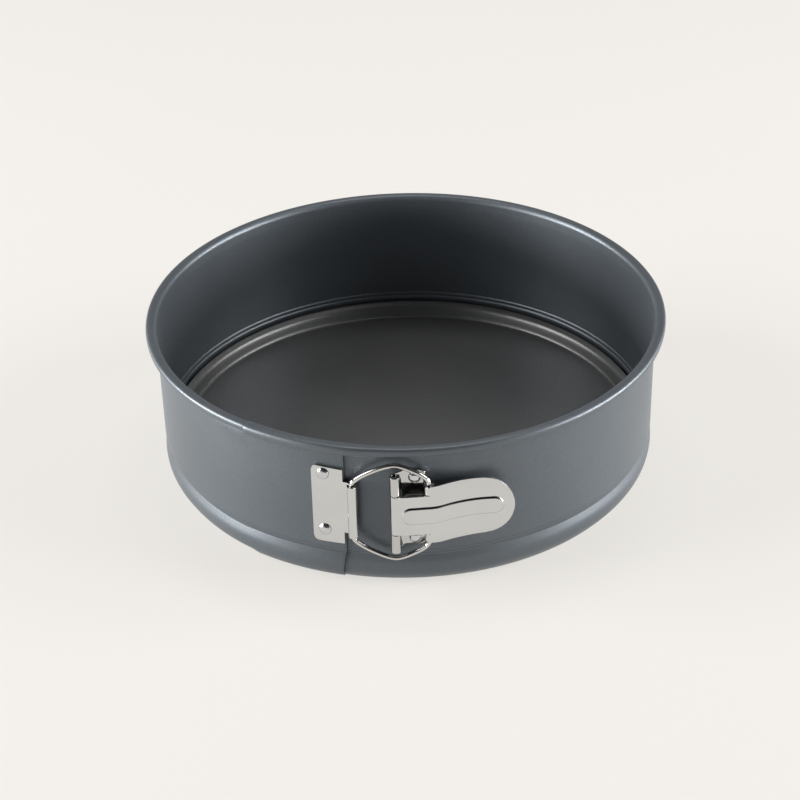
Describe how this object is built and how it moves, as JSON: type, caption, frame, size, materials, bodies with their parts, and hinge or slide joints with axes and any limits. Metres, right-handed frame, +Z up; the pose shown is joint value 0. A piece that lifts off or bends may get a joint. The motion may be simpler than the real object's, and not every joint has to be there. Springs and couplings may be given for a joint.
{
  "type": "springform pan",
  "caption": "Round springform baking pan: a coated steel band closed by an over-centre wire latch round a lift-out base plate.",
  "frame": {"origin": "centre of the base plate's underside, on the pan's axis; the band's hem stands 6.2 mm lower, on the table", "axes": "+Z up along the pan's axis, -Y from the axis towards the latch, +X towards the lever's free end"},
  "size_m": [0.226, 0.2288, 0.0688],
  "materials": {
    "band_coating": "satin dark blue-grey non-stick coating with a fine speckle",
    "base_coating": "satin dark grey non-stick coating, slightly warmer than the band",
    "latch_nickel": "bright nickel plate",
    "rivet_steel": "bright plated steel",
    "pin_steel": "drawn steel wire"
  },
  "bodies": {
    "inner_band": {"band_inner_end": "band_coating", "hinge_bracket": "latch_nickel", "bracket_rivet_upper": "rivet_steel", "bracket_rivet_lower": "rivet_steel", "hinge_pin": "pin_steel"},
    "right_band": {"band_right_arc": "band_coating"},
    "left_band": {"band_left_arc": "band_coating"},
    "outer_band": {"band_outer_end": "band_coating", "keeper_plate": "latch_nickel", "keeper_rivet_upper": "rivet_steel", "keeper_rivet_lower": "rivet_steel"},
    "base": {"base_plate": "base_coating"},
    "lever": {"latch_lever": "latch_nickel"},
    "bail": {"wire_bail": "latch_nickel"}
  },
  "joints": [
    {"name": "lever_hinge", "type": "hinge", "parent": "inner_band", "child": "lever", "pos_m": [-0.00627, -0.11313, 0.0321], "axis": [0, 0, -1], "range_deg": [0, 165]},
    {"name": "bail_pivot", "type": "hinge", "parent": "lever", "child": "bail", "pos_m": [0.0075, -0.11235, 0.0321], "axis": [0, 0, 1], "range_deg": [0, 150]},
    {"name": "band_flex_right", "type": "hinge", "parent": "inner_band", "child": "right_band", "pos_m": [0.09786, -0.0565, 0.0321], "axis": [0, 0, -1], "range_deg": [0, 4]},
    {"name": "band_flex_back", "type": "hinge", "parent": "right_band", "child": "left_band", "pos_m": [0, 0.113, 0.0321], "axis": [0, 0, -1], "range_deg": [0, 4]},
    {"name": "band_flex_left", "type": "hinge", "parent": "left_band", "child": "outer_band", "pos_m": [-0.09786, -0.0565, 0.0321], "axis": [0, 0, -1], "range_deg": [0, 4]},
    {"name": "base_lift", "type": "slide", "parent": "inner_band", "child": "base", "axis": [0, 0, 1], "range_m": [0, 0.08]}
  ],
  "couplings": [
    {"joint": "bail_pivot", "follows": "lever_hinge", "ratio": 0.85376},
    {"joint": "band_flex_right", "follows": "lever_hinge", "ratio": 0.02417},
    {"joint": "band_flex_back", "follows": "lever_hinge", "ratio": 0.02417},
    {"joint": "band_flex_left", "follows": "lever_hinge", "ratio": 0.02417}
  ]
}
